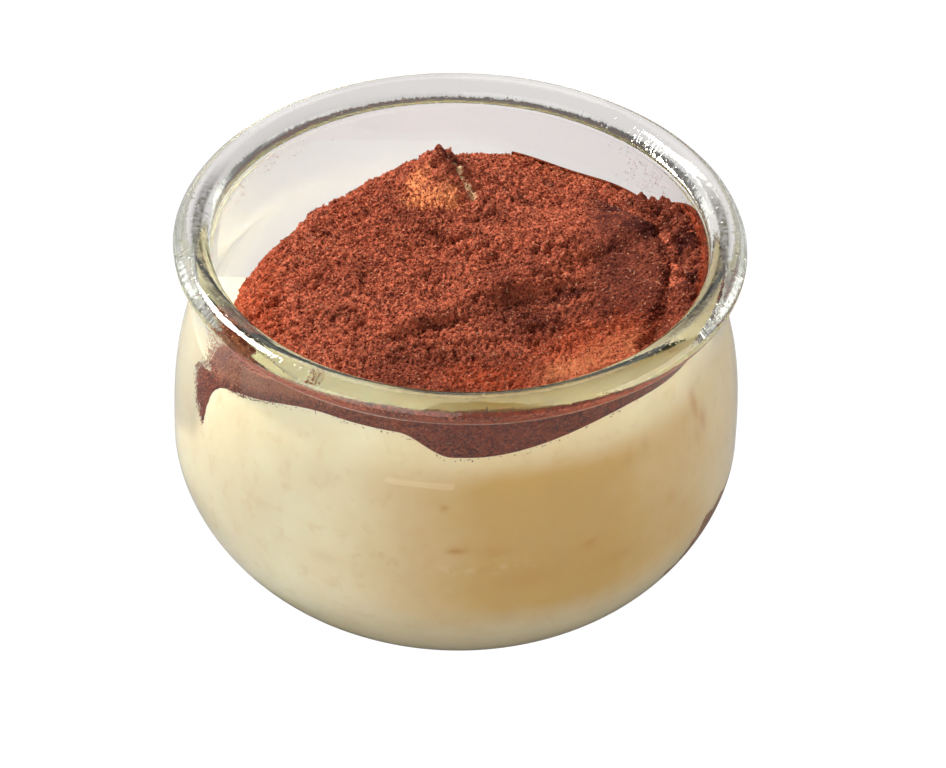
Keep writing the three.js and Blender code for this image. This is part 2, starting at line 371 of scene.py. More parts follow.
def glass_material():
    m, nt, out = material("clear_glass")
    where = node(nt, "TexCoord").outputs["Object"]
    bead = attribute(nt, "bead")
    ripple = grain(nt, where, 150.0, 1.0)
    fine = grain(nt, where, 1300.0, 2.0, 0.6)
    cells = node(nt, "TexVoronoi", {"Vector": where, "Scale": 1500.0})
    seed = node(nt, "SeparateColor", {0: cells.outputs["Color"]}).outputs[0]
    dots = calc(nt, "MULTIPLY", remap(nt, cells.outputs["Distance"], 0.12, 0.3, 1.0, 0.0), calc(nt, "GREATER_THAN", seed, 0.72))
    rough = calc(nt, "ADD", calc(nt, "MULTIPLY", fine, 0.25), calc(nt, "MULTIPLY", dots, attribute(nt, "pitted")))
    height = calc(nt, "ADD", calc(nt, "MULTIPLY", ripple, 0.5), calc(nt, "MULTIPLY", rough, bead))
    bump = node(nt, "Bump", {"Height": height, "Strength": 0.2, "Distance": 0.0006})
    haze = remap(nt, grain(nt, where, 90.0, 3.0), 0.45, 0.8, 0.0, 0.03)
    speck = calc(nt, "SUBTRACT", remap(nt, fine, 0.3, 0.6, 0.75, 1.0), calc(nt, "MULTIPLY", dots, 0.8), True)
    shader = node(
        nt,
        "BsdfPrincipled",
        {
            # painted dark reflection: the inner half of the rim top is painted dark olive at both sides, broken by
            # clear dots that read as glints
            "Base Color": blend(nt, calc(nt, "MULTIPLY", attribute(nt, "painted_dark_reflection"), speck), (0.99, 0.99, 0.985), (0.03, 0.025, 0.008)),
            "Roughness": haze,
            "IOR": 1.52,
            "Transmission Weight": 1.0,
            "Normal": bump.outputs[0],
        },
    )
    clear = node(nt, "BsdfTransparent", {"Color": (0.955, 0.955, 0.935, 1)})
    path = node(nt, "LightPath")
    mix = node(nt, "MixShader", {0: path.outputs["Is Shadow Ray"], 1: shader.outputs[0], 2: clear.outputs[0]})
    nt.links.new(mix.outputs[0], out.inputs["Surface"])
    tint = node(nt, "VolumeAbsorption", {"Color": (0.45, 0.483, 0.167, 1), "Density": 30.0})
    nt.links.new(tint.outputs[0], out.inputs["Volume"])
    return m


def cream_material():
    m, nt, out = material("mascarpone_cream")
    where = node(nt, "TexCoord").outputs["Object"]
    broad = grain(nt, where, 55.0, 3.0)
    small = grain(nt, where, 420.0, 3.0)
    curd = grain(nt, where, 520.0, 2.0, 0.5)
    tone = blend(nt, remap(nt, broad, 0.36, 0.66), srgb(250, 237, 207), srgb(252, 242, 216))
    # painted shade: darker, yellower cream across the front and front right, where less light falls
    tone = blend(nt, attribute(nt, "painted_shade_yellow"), tone, srgb(220, 184, 120))
    tone = blend(nt, calc(nt, "MULTIPLY", remap(nt, small, 0.55, 0.74), 0.22), tone, srgb(214, 178, 116))
    # painted shade: duller grey cream left of the streak and at the back, offsetting the strong light from behind
    tone = blend(nt, attribute(nt, "painted_shade_grey"), tone, srgb(172, 165, 147))
    row = attribute(nt, "row")
    tone = blend(nt, calc(nt, "MULTIPLY", remap(nt, curd, 0.54, 0.62), row), tone, srgb(246, 232, 196))
    tone = blend(nt, calc(nt, "MULTIPLY", remap(nt, curd, 0.44, 0.36), row), tone, srgb(196, 152, 88))
    tone = blend(nt, attribute(nt, "stain"), tone, srgb(196, 124, 56))
    height = calc(nt, "ADD", calc(nt, "MULTIPLY", small, 0.6), broad)
    bump = node(nt, "Bump", {"Height": height, "Strength": 0.25, "Distance": 0.0005})
    shader = node(
        nt,
        "BsdfPrincipled",
        {
            "Base Color": tone,
            "Roughness": remap(nt, small, 0.3, 0.7, 0.45, 0.6),
            "Subsurface Weight": 0.3,
            "Subsurface Radius": (1.0, 0.62, 0.3),
            "Subsurface Scale": 0.003,
            "Specular IOR Level": 0.2,
            "Normal": bump.outputs[0],
        },
    )
    nt.links.new(shader.outputs[0], out.inputs["Surface"])
    return m


def cocoa_colour(nt, where, dark=(84, 30, 20), light=(222, 118, 84)):
    fine = grain(nt, where, 2600.0, 2.0, 0.6)
    clump = grain(nt, where, 700.0, 2.0)
    wide = grain(nt, where, 110.0, 3.0)
    cells = node(nt, "TexVoronoi", {"Vector": where, "Scale": 3100.0})
    each = node(nt, "SeparateColor", {0: cells.outputs["Color"]}).outputs[0]
    bumps = remap(nt, cells.outputs["Distance"], 0.1, 0.75, 1.0, 0.0)
    # the grain's tone is partly random and partly painted shade and highlight: lighter where the bump's clumps and fine
    # noise stand high, darker in their hollows
    mixed = calc(nt, "ADD", calc(nt, "MULTIPLY", each, 0.55), calc(nt, "MULTIPLY", remap(nt, fine, 0.36, 0.64), 0.45))
    tone = blend(nt, remap(nt, mixed, 0.12, 0.92), srgb(*dark), srgb(*light))
    tone = blend(nt, calc(nt, "MULTIPLY", remap(nt, clump, 0.52, 0.7), 0.3), tone, srgb(*light))
    tone = blend(nt, calc(nt, "MULTIPLY", remap(nt, clump, 0.46, 0.34), 0.4), tone, srgb(*dark))
    tone = blend(nt, calc(nt, "MULTIPLY", remap(nt, wide, 0.5, 0.72), 0.35), tone, srgb(112, 46, 34))
    return tone, fine, clump, bumps


def cocoa_material(name="cocoa_powder", with_cover=False, dark=(84, 30, 20), light=(222, 118, 84), painted_glint_amount=0.5):
    m, nt, out = material(name)
    where = node(nt, "TexCoord").outputs["Object"]
    tone, fine, clump, bumps = cocoa_colour(nt, where, dark, light)
    if with_cover:
        speck = grain(nt, where, 1900.0, 2.0, 0.7)

        def sprinkle(name, lo, hi, most, colour, base):
            edge = calc(nt, "ADD", attribute(nt, name), calc(nt, "MULTIPLY", calc(nt, "SUBTRACT", speck, 0.5), 1.5))
            return blend(nt, remap(nt, edge, lo, hi, 0.0, most), base, srgb(*colour))

        # painted shade and shadow: darker powder on slopes turned from the light, under the crests and beside the tip,
        # with some random darker patches
        tone = blend(nt, calc(nt, "MULTIPLY", attribute(nt, "painted_shade"), 1.15, True), tone, srgb(62, 20, 14))
        tone = sprinkle("warm", 0.2, 0.9, 0.6, (184, 76, 40), tone)
        tone = sprinkle("thin", 0.3, 0.9, 0.62, (190, 118, 76), tone)
        # brighter orange on the tip's left face: partly thinner powder, partly a painted highlight where the light
        # falls
        tone = sprinkle("thin_tip_painted_highlight", 0.35, 0.8, 0.9, (240, 150, 96), tone)
        tone = blend(nt, attribute(nt, "bare"), tone, srgb(240, 206, 158))
    else:
        veil = calc(nt, "ADD", attribute(nt, "veil"), calc(nt, "MULTIPLY", calc(nt, "SUBTRACT", fine, 0.5), 1.2))
        tone = blend(nt, remap(nt, veil, 0.1, 0.9, 0.0, 0.8), tone, srgb(184, 116, 84))
    height = calc(nt, "ADD", calc(nt, "MULTIPLY", bumps, 0.35), calc(nt, "ADD", calc(nt, "MULTIPLY", fine, 0.4), calc(nt, "MULTIPLY", clump, 0.8)))
    bump = node(nt, "Bump", {"Height": height, "Strength": 0.8, "Distance": 0.0005})
    # painted glints: a few tiny cells are given a lighter colour
    cells = node(nt, "TexVoronoi", {"Vector": where, "Scale": 3600.0})
    painted_glint = calc(nt, "GREATER_THAN", node(nt, "SeparateColor", {0: cells.outputs["Color"]}).outputs[0], 0.965)
    tone = blend(nt, calc(nt, "MULTIPLY", painted_glint, painted_glint_amount), tone, srgb(240, 176, 138))
    shader = node(
        nt,
        "BsdfPrincipled",
        {
            "Base Color": tone,
            "Roughness": remap(nt, fine, 0.3, 0.7, 0.7, 0.9),
            "Specular IOR Level": 0.1,
            "Normal": bump.outputs[0],
        },
    )
    nt.links.new(shader.outputs[0], out.inputs["Surface"])
    return m


def sponge_material():
    m, nt, out = material("coffee_sponge")
    where = node(nt, "TexCoord").outputs["Object"]
    holes = node(nt, "TexVoronoi", {"Vector": where, "Scale": 900.0}).outputs["Distance"]
    wide = grain(nt, where, 260.0, 3.0)
    tone = blend(nt, remap(nt, wide, 0.36, 0.66), srgb(150, 100, 74), srgb(196, 144, 106))
    # painted shade: darker in the holes of the bump
    tone = blend(nt, remap(nt, holes, 0.0, 0.35, 0.6, 0.0), tone, srgb(96, 54, 44))
    bump = node(nt, "Bump", {"Height": holes, "Strength": 0.6, "Distance": 0.0004})
    shader = node(nt, "BsdfPrincipled", {"Base Color": tone, "Roughness": remap(nt, wide, 0.3, 0.7, 0.6, 0.75), "Normal": bump.outputs[0]})
    nt.links.new(shader.outputs[0], out.inputs["Surface"])
    return m


GLASS = glass_material()
CREAM = cream_material()
COCOA_COVER = cocoa_material("cocoa_cover", True, painted_glint_amount=0.3)
COCOA = cocoa_material("cocoa_powder")
COCOA_WALL = cocoa_material("cocoa_on_glass", dark=(64, 16, 6), light=(140, 58, 30), painted_glint_amount=0.1)
COCOA_DUST = cocoa_material("cocoa_dust", dark=(150, 82, 58), light=(204, 132, 100), painted_glint_amount=0.0)
SPONGE = sponge_material()

# ---------------------------------------------------------------------------
# glass pot
# ---------------------------------------------------------------------------


def build_glass():
    prof = [(r, 0.0) for r in (2, 8, 15, 20, 22.6)]
    n = 34
    for i in range(n + 1):
        z = BODY_Z - BODY_Z * math.cos(i / n * math.pi / 2) ** 1.15
        prof.append((float(outer_r(z)), z))
    for i in range(1, 45):
        z = BODY_Z + (NECK_TOP - BODY_Z) * i / 44
        prof.append((float(outer_r(z)), z))
    # soft step under the rolled rim
    for z in (47.2, 47.9, 48.5):
        prof.append((NECK_R, z))
    prof.append((NECK_R, BEAD_Z - BEAD_H - 0.75))
    for i in range(37):
        a = math.radians(-98 + 7.72 * i)
        prof.append((BEAD_R + BEAD_W * math.cos(a), BEAD_Z + BEAD_H * math.sin(a)))
    for z in (50.6, 50.0, 49.3, 48.5, 47.6):
        prof.append((float(inner_r(49)) + 0.25 * float(S((z - 49) / 1.8)), z))
    for i in range(45):
        z = NECK_TOP - (NECK_TOP - BODY_Z) * i / 44
        prof.append((float(inner_r(z)), z))
    n = 30
    for i in range(n - 1, -1, -1):
        z = BODY_Z - (BODY_Z - FLOOR_Z) * math.cos(i / n * math.pi / 2) ** 1.15
        prof.append((float(inner_r(z)), z))
    for r in (17, 12, 7, 3):
        prof.append((r, FLOOR_Z))
    prof = np.array(prof)[::-1]
    az = np.arange(360) * 1.0
    rz = np.repeat(prof[None], len(az), 0)
    a = np.radians(az)[:, None]
    x, y = np.sin(a) * rz[..., 0], -np.cos(a) * rz[..., 0]
    high = S((rz[..., 1] - 47) / 3)
    wave = 0.07 * fbm(x, y, rz[..., 1], 9, 2, seed=5) * high + 0.03 * fbm(x, y, rz[..., 1], 16, 2, seed=6)
    keep = S((rz[..., 1] - 1) / 4)
    rz[..., 0] += wave * keep
    rz[..., 1] += 0.05 * fbm(x, y, 0 * x, 12, 2, seed=8) * high
    rz[..., 1] = np.clip(rz[..., 1], 0, 53.6)
    pts, faces = turned((az, rz), top=FLOOR_Z, bottom=0.0)
    zz = np.concatenate([rz[..., 1].ravel(), [FLOOR_Z, 0]])
    rr = np.concatenate([rz[..., 0].ravel(), [0, 0]])
    aa = np.concatenate([np.repeat(az, len(prof)), [0, 0]])
    bead = S((zz - 48.6) / 1.0)
    side = np.abs(np.abs(signed(aa)) - 85)
    pitted = 0.15 + 0.85 * S((38.6 - rr) / 1.5) * (1 - S((side - 30) / 25))
    # painted dark reflection: a dark olive band on the inner half of the rim top at both sides
    off = np.abs(signed(aa))
    painted_dark_reflection = S((rr - 35.8) / 0.35) * (1 - S((rr - 37.3) / 0.5)) * S((zz - 52.0) / 0.8) * S((off - 38) / 22) * (1 - S((off - 98) / 20))
    return make_piece("glass_pot_clear", pts, faces, GLASS, ["glass_pot"], attributes={"bead": bead, "pitted": pitted, "painted_dark_reflection": painted_dark_reflection})


build_glass()

# ---------------------------------------------------------------------------
# cream
# ---------------------------------------------------------------------------
STAINS = [  # azimuth, height, half width, half height, strength
    (-1.8, 34.4, 0.9, 0.4, 0.5),
    (1.2, 27.9, 2.0, 0.55, 0.7),
    (8.0, 27.6, 3.2, 0.5, 0.3),
    (28.9, 26.0, 1.8, 0.5, 0.4),
    (61.5, 37.9, 1.3, 2.2, 0.4),
    (63.2, 34.2, 1.5, 1.7, 0.42),
    (60.6, 33.0, 1.2, 1.5, 0.25),
    (44.2, 37.3, 1.2, 1.5, 0.2),
    (39.3, 36.8, 1.0, 1.2, 0.15),
    (-26, 23, 4, 0.9, 0.12),
    (15, 22.5, 7, 2.0, 0.16),
    (36, 22, 6, 1.2, 0.14),
    (50, 27, 3, 1.4, 0.16),
    (-42, 27, 2.5, 0.7, 0.12),
]


def build_cream():
    n = 480
    az = np.arange(n) * 360.0 / n
    g = stand_off(az)
    into = 0.045
    zb = cream_line(az) + 0.25
    zA = zb * (1 - g) + g * np.maximum(zb + 1.6, EDGE_Z - 1.6)
    rA = (inner_r(zA) + into) * (1 - g) + g * np.minimum(edge_r(az) - 0.7, inner_r(zA) - 0.3)
    zB = np.minimum(zb, zA - 1.6 * g - 0.4)
    rows = []
    ts = [0.04, 0.12, 0.25, 0.4, 0.55, 0.7, 0.8, 0.88, 0.94, 0.98]
    for t in ts:
        r = rA * t
        z = powder_top(r, az) - 2.1 - np.clip(powder_top(rA, az) - 2.1 - zA, -4, 9) * t**6
        rows.append((r, z))
    rows.append((rA, zA))
    for t in (0.15, 0.35, 0.55, 0.75, 0.9):
        rows.append((rA + (inner_r(zB) + into - rA) * t**2.2, zA + (zB - zA) * t))
    for i in range(61):
        z = zB + (FLOOR_Z + 0.05 - zB) * (1 - math.cos(i / 60 * math.pi / 2)) ** 0.92 if i else zB
        rows.append((inner_r(z) + into * (z > FLOOR_Z + 0.2), z))
    for t in (0.8, 0.5, 0.2):
        rows.append((FLOOR_R * t + 0 * az, FLOOR_Z - 0.03 + 0 * az))
    rz = np.stack([np.stack(np.broadcast_arrays(r, z), -1) for r, z in rows], 1).astype(float)
    A = np.broadcast_to(az[:, None], rz.shape[:2])
    a = np.radians(A)
    x, y, z = rz[..., 0] * np.sin(a), -rz[..., 0] * np.cos(a), rz[..., 1]
    # the part that stands off the glass is soft and uneven
    free = np.clip((inner_r(z) - rz[..., 0]) / 1.2, 0, 1) * (z > 8)
    rz[..., 0] += free * 0.35 * fbm(x, y, z, 6, 3, seed=21)
    pts, faces = turned((az, rz), top=float(rows[0][1].mean()), bottom=FLOOR_Z - 0.03)
    s = signed(A)
    wallside = (inner_r(z) - rz[..., 0] < 0.5) & (z > FLOOR_Z)
    stain = np.zeros_like(z)
    wob = fbm(x, y, z, 1.6, 3, seed=31)
    for c, h, w, hh, k in STAINS:
        stain = np.maximum(stain, k * np.exp(-(((s - c) / w) ** 2) - ((z - h) / hh) ** 2) * (1 + 0.5 * wob))
    stain = np.clip(stain, 0, 1) * wallside
    # painted shade: darker, yellower cream across the front and front right, less at the bottom, back and top, with
    # some random variation
    painted_shade_yellow = 0.06 + 0.7 * S((s + 26) / 24) + 0.34 * S((s + 4) / 16) - 0.33 * S((s - 24) / 24) - 0.37 * S((s - 52) / 22)
    painted_shade_yellow = painted_shade_yellow * (1 - 0.75 * S((20 - z) / 9)) * (1 - 0.5 * S((np.abs(s) - 110) / 30)) * (1 - 0.6 * S((z - 36.5) / 5))
    painted_shade_yellow = np.clip(painted_shade_yellow + 0.12 * fbm(x, y, z, 7, 3, seed=33) + 0.06 * fbm(x, y, z, 2.2, 2, seed=35), 0, 1)
    # painted shade: duller grey cream left of the streak and at the back left and back right, offsetting the strong
    # light from behind
    edge = 28.2 - 0.4 * (-s - 64)
    painted_shade_grey = 0.62 * S((-s - 63) / 6) * S((z - edge + 1) / 4.5) + 0.05 * S((s - 78) / 8)
    painted_shade_grey = np.maximum(painted_shade_grey, 0.85 * S((-s - 82) / 24) + 0.85 * S((s - 112) / 34))
    painted_shade_grey = np.clip(painted_shade_grey + 0.06 * fbm(x, y, z, 4, 2, seed=34), 0, 1)
    row = bell(z + 1.6 * wob, 24.9, 1.0) * S((s + 26) / 8) * (1 - S((s - 12) / 8))
    row = np.maximum(row, 0.6 * bell(z, 21.5, 1.0) * bell(s, -14, 12))
    row = np.clip(np.maximum(row, 0.5 * bell(z, 26.5, 1.4) * bell(s, -46, 9)), 0, 1) * 0.2
    pad = [0.0, 0.0]
    return make_piece(
        "mascarpone_cream_body",
        pts,
        faces,
        CREAM,
        ["mascarpone_cream"],
        attributes={k: np.concatenate([v.ravel(), pad]) for k, v in (("stain", stain), ("painted_shade_yellow", painted_shade_yellow), ("painted_shade_grey", painted_shade_grey), ("row", row))},
    )


build_cream()

# ---------------------------------------------------------------------------
# sponge
# ---------------------------------------------------------------------------


def build_sponge():
    n = 480
    az = np.arange(n) * 360.0 / n
    a = signed(az)
    wob = 0.35 * np.sin(np.radians(az * 3 + 20)) + 0.25 * np.sin(np.radians(az * 7))
    top = 20.9 - 2.4 * np.sin(np.radians(az))
    rows = []
    for t in np.linspace(0, 1, 29):
        z = top - (top - 8.6) * t
        x, y = 38 * np.sin(np.radians(az)), -38 * np.cos(np.radians(az))
        start = 65.5 - 2.5 * (18.2 - z) + 6 * fbm(x, y, z, 1.2, 3, seed=43)
        end = 128 - 1.6 * (z - 15) + 12 * fbm(x, y, z, 3.0, 3, seed=44)
        reach = S((a - start) / 2.5) * (1 - S((a - end) / 4)) * S((z - 10.2 - 1.2 * fbm(x, y, z, 4, 2, seed=45)) / 0.8) * S((top - 0.6 + 0.8 * fbm(x, y, z, 3, 2, seed=46) - z) / 0.6)
        r = (inner_r(z) + 0.1) * reach + (inner_r(z) - 1.6 + 0.5 * wob) * (1 - reach)
        rows.append((r, z))
    rows = [(rows[0][0] * 0.5, top - 0.2), (rows[0][0] - 1.2, top)] + [(r, z - (0.5 if i == 0 else 0)) for i, (r, z) in enumerate(rows)]
    rz = np.stack([np.stack([r, z], -1) for r, z in rows], 1)
    aa = np.radians(az)[:, None]
    x, y, z = rz[..., 0] * np.sin(aa), -rz[..., 0] * np.cos(aa), rz[..., 1]
    rz[..., 1] += 0.25 * fbm(x, y, z, 2.5, 3, seed=42)
    pts, faces = turned((az, rz), top=20.9, bottom=8.6)
    return make_piece("coffee_sponge_body", pts, faces, SPONGE, ["coffee_sponge"])


build_sponge()

# ---------------------------------------------------------------------------
# cocoa cover
# ---------------------------------------------------------------------------
RIDGES = [  # start, end, height, width on the far side, width on the near side
    ((4.6, -8.6), (10.1, -5.8), 1.15, 2.6, 0.9),
    ((10.1, -5.8), (15.6, -3.2), 0.95, 3.0, 1.0),
    ((-10.0, -18.4), (-3.8, -14.2), 0.95, 2.0, 0.6),
    ((-3.8, -14.2), (-0.6, -13.4), 0.9, 1.6, 0.6),
    ((-7.0, 7.4), (-1.6, 2.9), 0.6, 1.8, 0.6),
    ((-1.6, 2.9), (2.6, 5.0), 0.5, 1.6, 0.6),
    ((9.5, 1.2), (16.5, 5.4), 0.4, 1.9, 0.9),
    ((-16.2, 2.4), (-10.8, 5.0), 0.45, 1.6, 0.6),
    ((-15.0, 14.0), (-11.0, 15.8), 0.4, 1.6, 0.7),
    ((-20.5, -5.4), (-16.8, -1.0), 0.4, 1.5, 0.6),
    ((-18.5, -13.2), (-14.2, -11.6), 0.3, 1.8, 0.8),
    ((1.5, -17.2), (6.5, -16.4), 0.35, 1.6, 0.7),
    ((28.9, -12.4), (30.0, -3.0), 0.4, 0.6, 0.6),
]
DENTS = [  # x, y, radius, height
    (-13.4, 4.2, 1.2, -0.6),
    (-12.7, 15.3, 1.3, -0.6),
    (-1.7, 2.4, 1.3, -0.7),
    (-3.2, -14.9, 1.0, -0.5),
    (-12.6, -19.5, 1.1, -0.45),
    (-18.0, -1.4, 1.3, -0.5),
    (5.6, 9.0, 2.4, -0.6),
    (2.0, -14.2, 1.6, -0.4),
    (11.5, -10.5, 2.6, -0.45),
    (14.6, -13.0, 1.0, -0.3),
]


def ridges(x, y):
    out = 0 * x
    bend = 0.5 * fbm(x, y, 0 * x, 3.5, 2, seed=57)
    for (ax, ay), (bx, by), h, far, near in RIDGES:
        lx, ly = bx - ax, by - ay
        long = math.hypot(lx, ly)
        t = ((x - ax) * lx + (y - ay) * ly) / long**2
        d = ((x - ax) * ly - (y - ay) * lx) / long + bend
        ends = S((t + 0.18) / 0.36) * (1 - S((t - 0.82) / 0.36))
        out = out + h * ends * np.exp(-((d / np.where(d < 0, far, near)) ** 2))
        out = out - 0.4 * h * ends * np.exp(-(((d - near * 1.8) / (near * 1.2)) ** 2))
    for dx, dy, dr, dh in DENTS:
        out = out + dh * np.exp(-((x - dx) ** 2 + (y - dy) ** 2) / dr**2)
    r, th = np.hypot(x, y), wrap(np.degrees(np.arctan2(x, -y)))
    beside = S((th - 64) / 8) * (1 - S((th - 126) / 10))
    r = r + 0.9 * fbm(x, y, 0 * x, 7, 2, seed=63)
    return out + beside * (0.6 * bell(r, 32.3, 1.3) - 0.15 * bell(r, 29.7, 0.8))


def zones(x, y):
    """parts of the mound with a look of their own, each 0 to 1"""
    r, az = np.hypot(x, y), np.degrees(np.arctan2(x, -y))
    th = wrap(az)
    pile = S((r - 30.0) / 1.2) * S((th - 66) / 8) * (1 - S((th - 128) / 6))
    smooth = S((x - 16.5) / 4) * (1 - S((r - 28.5) / 1.5)) * S((y + 13) / 4)
    patch = np.exp(-(((((x - 18.2) * 0.81 + (y + 19.0) * 0.58)) / 10.2) ** 4) - ((-(x - 18.2) * 0.58 + (y + 19.0) * 0.81) / 3.4) ** 2)
    return pile, smooth, patch


def square_to_disc(n):
    """grid of (n+1)^2 points spread evenly over the unit disc"""
    t = np.linspace(-1, 1, n + 1)
    u, v = np.meshgrid(t, t, indexing="ij")
    big = np.abs(u) > np.abs(v)
    with np.errstate(divide="ignore", invalid="ignore"):
        rho = np.where(big, u, v)
        phi = np.where(big, math.pi / 4 * (v / u), math.pi / 2 - math.pi / 4 * (u / v))
    phi = np.where((u == 0) & (v == 0), 0, phi)
    x, y = rho * np.cos(phi), rho * np.sin(phi)
    return x, y


def relief(x, y, z):
    """height of the powder's uneven surface, in millimetres"""
    pile, smooth, patch = zones(x, y)
    tipped = S(tip(x, y) / 0.8) * (y < 17)
    calm = 1 - 0.7 * np.maximum(np.maximum(smooth, patch), tipped)
    low = 0.45 * fbm(x, y, z, 5.5, 3, seed=51) * calm
    along, across = (x * 0.83 + y * 0.55), (-x * 0.55 + y * 0.83)
    streak = 0.3 * fbm(along / 3.2, across, z * 0.5, 1.5, 3, seed=52) * calm
    crumb = 1.3 * (lumps(x, y, z, 1.3, 53) - 0.72) * S(0.5 + 1.4 * fbm(x, y, z, 5, 2, seed=54)) * calm
    heap = pile * (2.4 * (lumps(x, y, z, 1.9, 58) - 0.7) + 1.3 * (lumps(x, y, z, 1.0, 59) - 0.7))
    fine = (0.75 * (lumps(x, y, z, 0.6, 55) - 0.72) + 0.15 * noise(x / 0.3, y / 0.3, z / 0.3, 56)) * (1 - 0.5 * np.maximum(np.maximum(smooth, patch), tipped))
    return low + streak + crumb + heap + fine


def build_cover():
    n = 296
    ux, uy = square_to_disc(n)
    rho, az = np.hypot(ux, uy), np.degrees(np.arctan2(ux, -uy))
    re = powder_r(az)
    r = np.minimum(re * rho, re)
    a = np.radians(az)
    x, y = r * np.sin(a), -r * np.cos(a)
    z = powder_top(r, az)
    z = z + ridges(x, y)
    P = np.stack([x, y, z], -1)
    du = np.gradient(P, axis=0)
    dv = np.gradient(P, axis=1)
    N = np.cross(du, dv)
    N *= np.sign(N[..., 2:3] + 1e-9)
    N /= np.linalg.norm(N, axis=-1, keepdims=True)
    uneven = relief(x, y, z)
    hold = 1 - S((rho - 0.965) / 0.035) * (1 - powder_off(az))
    P = P + N * (uneven * (0.25 + 0.75 * hold))[..., None]
    rr = np.hypot(P[..., 0], P[..., 1])
    limit = inner_r(P[..., 2]) - 0.025
    k = np.minimum(1, limit / np.maximum(rr, 1e-6))
    P[..., 0] *= k
    P[..., 1] *= k
    idx = np.arange((n + 1) ** 2).reshape(n + 1, n + 1)
    quads = np.stack([idx[:-1, :-1], idx[1:, :-1], idx[1:, 1:], idx[:-1, 1:]], -1).reshape(-1, 4)
    ring = np.concatenate([idx[:-1, 0], idx[-1, :-1], idx[:0:-1, -1], idx[0, :0:-1]])
    verts = P.reshape(-1, 3)
    ra, raz = np.hypot(verts[ring, 0], verts[ring, 1]), az.reshape(-1)[ring]
    g = powder_off(raz)
    rings = []
    for inset, drop in ((0.35, 0.9), (1.6, 2.1), (12, 2.6)):
        rr = ra - inset
        zz = np.minimum(verts[ring, 2] - drop, powder_top(np.maximum(rr, 0), raz) - drop)
        rr = np.where(inset < 1, ra - inset * g, rr)
        rings.append(np.stack([rr * np.sin(np.radians(raz)), -rr * np.cos(np.radians(raz)), zz], -1))
    base = len(verts)
    m = len(ring)
    verts = np.concatenate([verts] + rings + [np.array([[0, 0, 44.0]])])
    i = np.arange(m)
    j = (i + 1) % m
    rows = [ring] + [base + m * q + i for q in range(3)]
    side = [np.stack([p[i], q[i], q[j], p[j]], -1) for p, q in zip(rows[:-1], rows[1:])]
    last = rows[-1]
    tris = np.stack([np.full(m, len(verts) - 1), last[j], last[i]], -1)
    # attributes
    spots = fbm(x, y, z, 2.2, 3, seed=61)
    pile, smooth, patch = zones(x, y)
    thin = np.clip(patch * (0.8 + 0.5 * spots), 0, 1)
    # the tip's left face: partly thinner powder, partly a painted highlight where the light falls
    thin_tip_painted_highlight = np.exp(-(((x + 4.0) / 5.0) ** 4) - ((y - 13.0) / 2.6) ** 2)
    thin_tip_painted_highlight = np.maximum(thin_tip_painted_highlight, np.exp(-(((x + 6.4) / 2.2) ** 2) - ((y - 15.6) / 3.4) ** 2))
    thin_tip_painted_highlight = np.clip(thin_tip_painted_highlight * (0.95 + 0.5 * spots), 0, 1)
    warm = np.exp(-(((x - 4) / 9) ** 2) - ((y + 25) / 3.5) ** 2)
    warm = np.maximum(warm, np.exp(-((((x - 17.5) * 0.81 + (y + 17) * 0.58) / 12) ** 2) - ((-(x - 17.5) * 0.58 + (y + 17) * 0.81) / 6) ** 2))
    warm = np.maximum(warm, 0.8 * S((-x - 17) / 10) * S((np.hypot(x, y) - 22) / 6))
    warm = np.maximum(warm, S((np.hypot(x, y) - 33.2) / 0.9) * S((wrap(az) - 60) / 10) * (1 - S((wrap(az) - 125) / 8)))
    warm = np.clip(warm * (0.9 + 0.5 * spots), 0, 1)
    # painted shade and shadow: the smooth dome and pile turned from the light, the tip's dark cap and shadow, the crest
    # shadows and the front, with random darker patches
    painted_shade = 0.62 * smooth + 0.5 * pile + 0.8 * np.exp(-(((x + 1.9) / 1.8) ** 2) - ((y - 18.9) / 1.6) ** 2)
    painted_shade = painted_shade + 0.35 * S(1.6 * fbm(x, y, z, 4.5, 3, seed=64)) + 0.62 * np.exp(-(((x - 10) / 8.5) ** 2) - ((y + 12.0) / 5.0) ** 2) + 0.3 * np.exp(-(((x - 5.6) / 3) ** 2) - ((y - 9.4) / 3) ** 2)
    painted_shade = painted_shade + 0.5 * S((-y - 17) / 5) * S((x + 16) / 8) * (1 - S((x - 8) / 8))
    for (ax, ay), (bx, by), w, k in (((6.5, -10.2), (12.8, -7.4), 1.3, 0.75), ((12.8, -7.4), (17.6, -4.6), 1.4, 0.75), ((-5.0, -15.6), (-1.4, -15.0), 0.9, 0.5), ((25.9, 20), (29.9, 3), 1.2, 0.5), ((29.9, 3), (28.4, -12.5), 1.3, 0.6)):
        f = np.clip(((x - ax) * (bx - ax) + (y - ay) * (by - ay)) / ((bx - ax) ** 2 + (by - ay) ** 2), 0, 1)
        near = np.hypot(x - ax - (bx - ax) * f, y - ay - (by - ay) * f)
        painted_shade = np.maximum(painted_shade, k * bell(near, 0, w))
    painted_shade = np.clip(painted_shade * (1 + 0.4 * spots), 0, 1)
    t = np.clip(((x + 0.9) * 2.5 - (y - 18.8) * 4.0) / (2.5**2 + 4.0**2), 0, 1)
    gap = np.hypot(x + 0.9 - 2.5 * t, y - 18.8 + 4.0 * t)
    bare = 0.8 * (1 - S((gap - 0.1 - 0.35 * t) / 0.3))
    pad = np.zeros(len(verts) - (n + 1) ** 2)
    return make_piece(
        "cocoa_cover",
        verts,
        [np.concatenate([quads] + side), tris],
        COCOA_COVER,
        ["cocoa_powder"],
        attributes={k: np.concatenate([v.ravel(), pad]) for k, v in (("thin", thin), ("thin_tip_painted_highlight", thin_tip_painted_highlight), ("bare", bare), ("warm", warm), ("painted_shade", painted_shade))},
    )


cover = build_cover()

# ---------------------------------------------------------------------------
# cocoa against the glass
# ---------------------------------------------------------------------------


